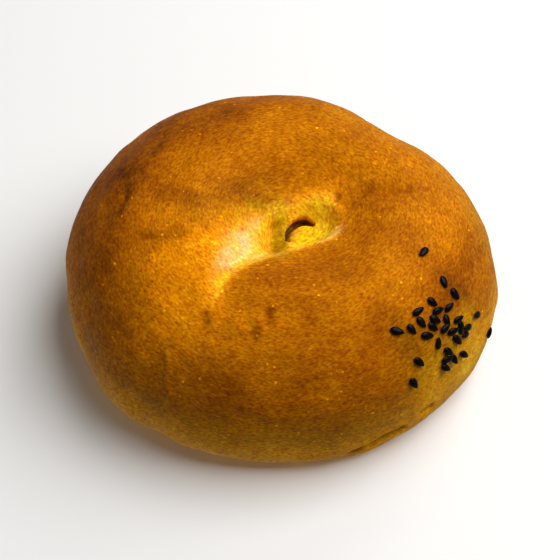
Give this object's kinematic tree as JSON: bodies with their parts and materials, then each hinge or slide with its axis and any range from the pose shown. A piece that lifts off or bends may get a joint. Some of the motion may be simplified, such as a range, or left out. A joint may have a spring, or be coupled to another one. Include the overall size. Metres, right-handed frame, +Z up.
{
  "type": "sweet potato bun",
  "caption": "Soft baked sweet potato bun shaped like a bagel, its hole closed to a pit with folds of dough, with black sesame on one side.",
  "frame": {"origin": "on the surface the bun rests on, under the middle of its outline", "axes": "+Z up through the closed hole, +X along the bun's longer way, and the side towards -Y is the front"},
  "size_m": [0.1056, 0.1008, 0.0451],
  "materials": {
    "crust": "satin",
    "sesame": "satin"
  },
  "bodies": {
    "root": {"bun": "crust"}
  },
  "joints": []
}
